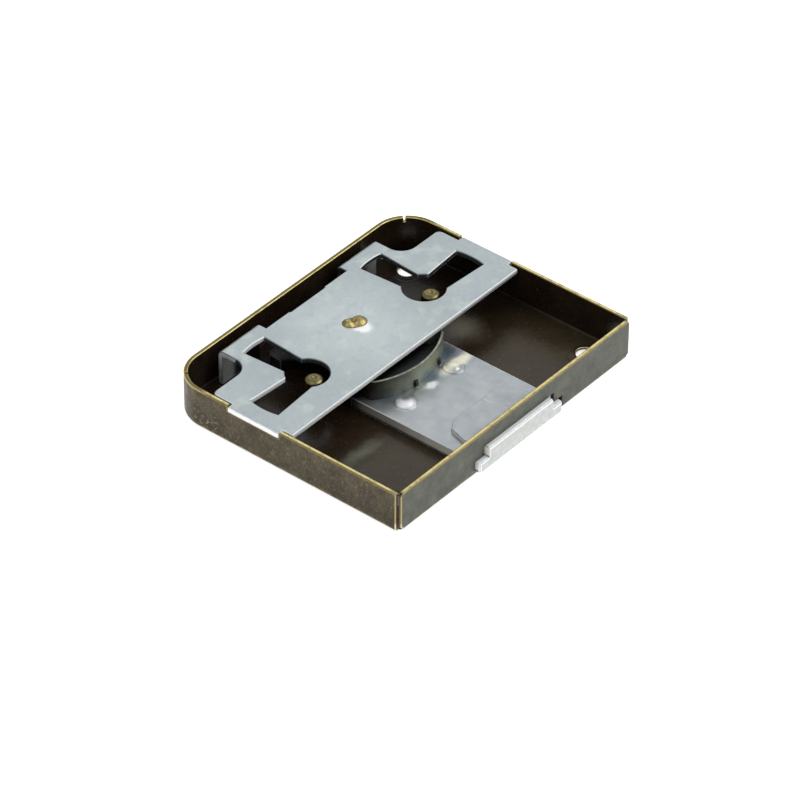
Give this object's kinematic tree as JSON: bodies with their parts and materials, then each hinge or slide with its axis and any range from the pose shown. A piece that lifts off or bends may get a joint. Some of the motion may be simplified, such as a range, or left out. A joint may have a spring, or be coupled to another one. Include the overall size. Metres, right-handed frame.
{
  "type": "cabinet lock",
  "caption": "Flat screw-on cabinet lock: folded case, sliding bolt with thick end, spring, mirrored keyholes and posts for a barrel key, for doors of either hand.",
  "frame": {"origin": "middle of the outer face of the case, the face that lies on the table in the picture", "axes": "+X along the selvage, the bolt shoots towards -Y, +Z from the outer face to the open side with the cap plate"},
  "size_m": [0.0636, 0.0528, 0.0088],
  "materials": {
    "antiqued_brass": "antiqued dark, rims rubbed bright",
    "zinc_plated_steel": "bright zinc plating",
    "cast_zinc": "smooth casting",
    "spring_steel": "oiled dark, edges bright",
    "bare_brass": "turned, unlacquered"
  },
  "bodies": {
    "case": {"case": "antiqued_brass", "cap_plate": "zinc_plated_steel", "centre_post": "bare_brass", "key_post_left": "bare_brass", "key_post_right": "bare_brass"},
    "bolt": {"bolt": "cast_zinc", "bolt_spring": "spring_steel"}
  },
  "joints": [
    {"name": "bolt_slide", "type": "slide", "parent": "case", "child": "bolt", "axis": [0, -1, 0], "range_m": [0, 0.0064]}
  ]
}
